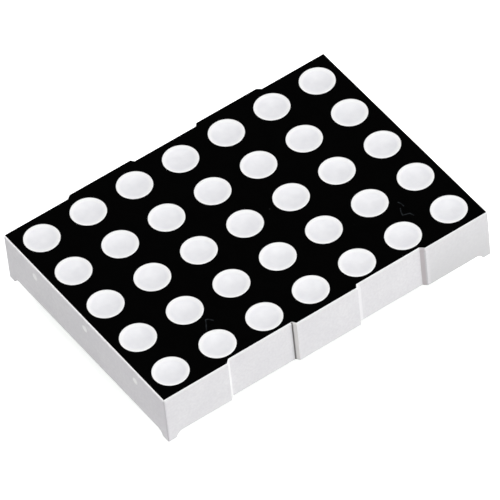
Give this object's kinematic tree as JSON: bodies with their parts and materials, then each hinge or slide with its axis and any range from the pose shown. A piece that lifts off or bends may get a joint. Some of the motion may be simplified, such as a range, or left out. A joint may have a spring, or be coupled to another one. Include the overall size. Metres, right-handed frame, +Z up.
{
  "type": "led dot matrix",
  "caption": "Flat rectangular LED dot matrix module: white moulded housing with corner feet and side tongues, black face with round white dots, pins at the back.",
  "frame": {"origin": "centre of the pin pattern, on the plane under the four corner feet", "axes": "+X across the five columns towards the side with the grooves, +Y along the seven rows, +Z up through the face"},
  "size_m": [0.0385, 0.0532, 0.0123],
  "materials": {
    "white_housing_plastic": "moulded, satin",
    "black_face_film": "printed black, satin",
    "diffused_epoxy": "cast, milky white",
    "board_laminate": "green solder mask",
    "chip_semiconductor": "sawn",
    "gold_wire": "drawn",
    "tinned_pin_metal": "tinned"
  },
  "bodies": {
    "root": {"bond_wires": "gold_wire", "circuit_board": "board_laminate", "dot_r1_c1": "diffused_epoxy", "dot_r1_c2": "diffused_epoxy", "dot_r1_c3": "diffused_epoxy", "dot_r1_c4": "diffused_epoxy", "dot_r1_c5": "diffused_epoxy", "dot_r2_c1": "diffused_epoxy", "dot_r2_c2": "diffused_epoxy", "dot_r2_c3": "diffused_epoxy", "dot_r2_c4": "diffused_epoxy", "dot_r2_c5": "diffused_epoxy", "dot_r3_c1": "diffused_epoxy", "dot_r3_c2": "diffused_epoxy", "dot_r3_c3": "diffused_epoxy", "dot_r3_c4": "diffused_epoxy", "dot_r3_c5": "diffused_epoxy", "dot_r4_c1": "diffused_epoxy", "dot_r4_c2": "diffused_epoxy", "dot_r4_c3": "diffused_epoxy", "dot_r4_c4": "diffused_epoxy", "dot_r4_c5": "diffused_epoxy", "dot_r5_c1": "diffused_epoxy", "dot_r5_c2": "diffused_epoxy", "dot_r5_c3": "diffused_epoxy", "dot_r5_c4": "diffused_epoxy", "dot_r5_c5": "diffused_epoxy", "dot_r6_c1": "diffused_epoxy", "dot_r6_c2": "diffused_epoxy", "dot_r6_c3": "diffused_epoxy", "dot_r6_c4": "diffused_epoxy", "dot_r6_c5": "diffused_epoxy", "dot_r7_c1": "diffused_epoxy", "dot_r7_c2": "diffused_epoxy", "dot_r7_c3": "diffused_epoxy", "dot_r7_c4": "diffused_epoxy", "dot_r7_c5": "diffused_epoxy", "face_film": "black_face_film", "led_chips": "chip_semiconductor", "pin_01": "tinned_pin_metal", "pin_02": "tinned_pin_metal", "pin_03": "tinned_pin_metal", "pin_04": "tinned_pin_metal", "pin_05": "tinned_pin_metal", "pin_06": "tinned_pin_metal", "pin_07": "tinned_pin_metal", "pin_08": "tinned_pin_metal", "pin_09": "tinned_pin_metal", "pin_10": "tinned_pin_metal", "pin_11": "tinned_pin_metal", "pin_12": "tinned_pin_metal", "reflector_housing": "white_housing_plastic"}
  },
  "joints": []
}
